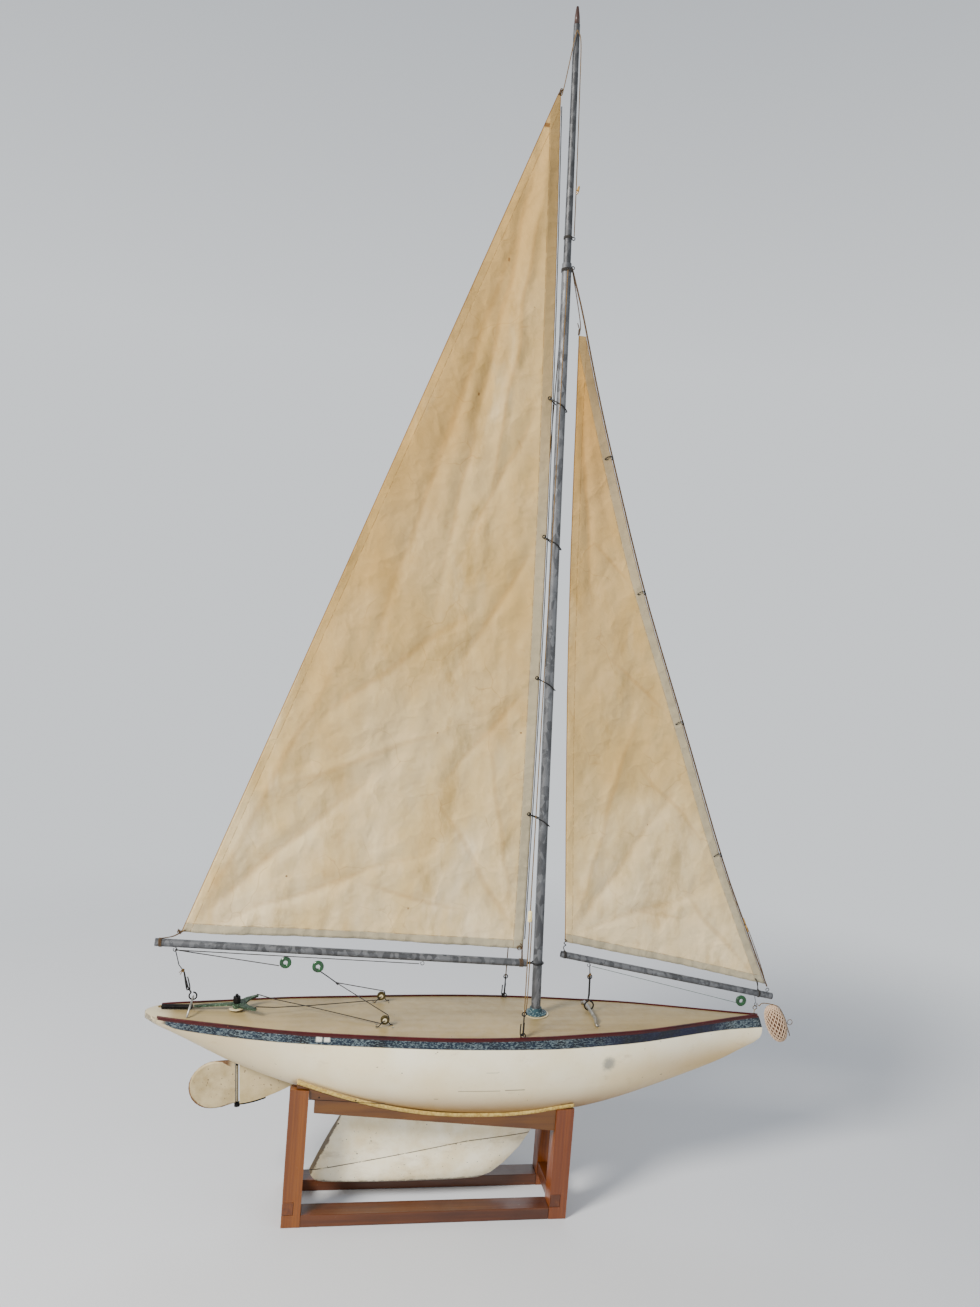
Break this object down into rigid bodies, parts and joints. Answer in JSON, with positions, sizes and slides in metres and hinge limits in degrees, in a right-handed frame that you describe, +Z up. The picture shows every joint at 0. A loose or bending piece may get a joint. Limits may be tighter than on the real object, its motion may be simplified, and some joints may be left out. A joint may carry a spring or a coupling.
{
  "type": "free-sailing pond yacht on a display cradle",
  "caption": "Sloop-rigged free-sailing pond yacht with fin keel, sheet-linked rudder steering and a wooden display cradle.",
  "frame": {"origin": "on the floor under the middle of the model", "axes": "+X forward to the bow, +Y to port, +Z up"},
  "size_m": [0.9721, 0.1556, 1.7418],
  "materials": {
    "stand_wood": "warm varnished softwood, worn and nail-marked",
    "padding": "aged cream felt strip",
    "hull_paint": "cream paint, chipped and scuffed, with a speckled blue sheer stripe",
    "deck_paint": "aged cream-beige paint, dirty and crazed",
    "rail_paint": "worn maroon paint",
    "bare_wood": "dark varnished wood",
    "lead": "cast lead under chipped cream paint",
    "brass": "aged brass",
    "verdigris": "green-brown verdigris",
    "wire": "dark rusty wire",
    "galvanised": "dull mottled grey tube",
    "cord": "thin waxed twine",
    "sailcloth": "aged tan cotton with grey hem tapes",
    "green_bowsie": "glossy dark green",
    "cream_bowsie": "aged cream",
    "crochet": "open crocheted cord"
  },
  "bodies": {
    "stand": {"starboard_aft_post": "stand_wood", "starboard_forward_post": "stand_wood", "starboard_bottom_rail": "stand_wood", "starboard_cradle_board": "stand_wood", "starboard_pad": "padding", "port_aft_post": "stand_wood", "port_forward_post": "stand_wood", "port_bottom_rail": "stand_wood", "port_cradle_board": "stand_wood", "port_pad": "padding", "aft_cross_rail": "stand_wood", "forward_cross_rail": "stand_wood", "forward_upper_rail": "stand_wood"},
    "hull": {"hull_shell": "hull_paint", "deck": "deck_paint", "gunwale_strip": "rail_paint", "mast_block": "bare_wood", "keel_bolt_aft": "brass", "keel_bolt_forward": "brass", "keel_fin": "hull_paint", "lead_ballast": "lead", "skeg": "hull_paint", "heel_strap": "wire", "rudder_tube": "brass", "port_sheave_bracket": "wire", "starboard_sheave_bracket": "wire", "stern_horse": "brass", "centring_tube": "wire", "jib_horse": "brass", "bow_eye": "brass", "mast_lower": "galvanised", "mast_upper": "galvanised", "mast_tip": "bare_wood", "mast_collar": "verdigris", "port_shroud": "cord", "starboard_shroud": "cord", "shroud_bowsie": "cream_bowsie", "main_halyard": "cord", "steering_line": "cord", "bow_bumper": "crochet", "bumper_cord": "cord"},
    "rudder": {"rudder_stock": "brass", "rudder_blade": "hull_paint", "quadrant": "verdigris", "quadrant_cap": "wire"},
    "port_sheave": {"port_sheave": "brass"},
    "starboard_sheave": {"starboard_sheave": "brass"},
    "main_boom": {"main_boom": "galvanised", "mainsail": "sailcloth", "gooseneck_loop": "wire", "main_sheet": "cord", "main_sheet_bowsie": "green_bowsie", "steering_bowsie": "green_bowsie", "mast_hoops": "wire", "main_sheet_drop": "wire"},
    "jib_boom": {"jib_boom": "galvanised", "jib": "sailcloth", "jib_sheet_bowsie": "green_bowsie", "jib_sheet_drop": "wire", "forestay": "cord"}
  },
  "joints": [
    {"name": "boat_lift", "type": "slide", "parent": "stand", "child": "hull", "axis": [0, 0, 1], "range_m": [0, 0.3]},
    {"name": "main_boom_swing", "type": "hinge", "parent": "hull", "child": "main_boom", "pos_m": [0.07024, 0, 0.3576], "axis": [-0.0402, 0, 0.9992], "range_deg": [-50, 50], "deforming": ["main_sheet_drop", "main_halyard", "steering_line"]},
    {"name": "rudder_swing", "type": "hinge", "parent": "hull", "child": "rudder", "pos_m": [-0.352, 0, 0.149], "axis": [-0.0654, 0, 0.9979], "range_deg": [-35, 35], "deforming": ["steering_line"]},
    {"name": "jib_boom_swing", "type": "hinge", "parent": "hull", "child": "jib_boom", "pos_m": [0.4245, 0, 0.2975], "axis": [-0.3379, 0, 0.9412], "range_deg": [-35, 35], "deforming": ["jib_sheet_drop"]},
    {"name": "port_sheave_spin", "type": "hinge", "parent": "hull", "child": "port_sheave", "pos_m": [-0.155, 0.042, 0.2888], "axis": [0, 1, 0], "continuous": true},
    {"name": "starboard_sheave_spin", "type": "hinge", "parent": "hull", "child": "starboard_sheave", "pos_m": [-0.155, -0.042, 0.2888], "axis": [0, 1, 0], "continuous": true}
  ],
  "couplings": [
    {"joint": "rudder_swing", "follows": "main_boom_swing", "ratio": 0.6}
  ]
}
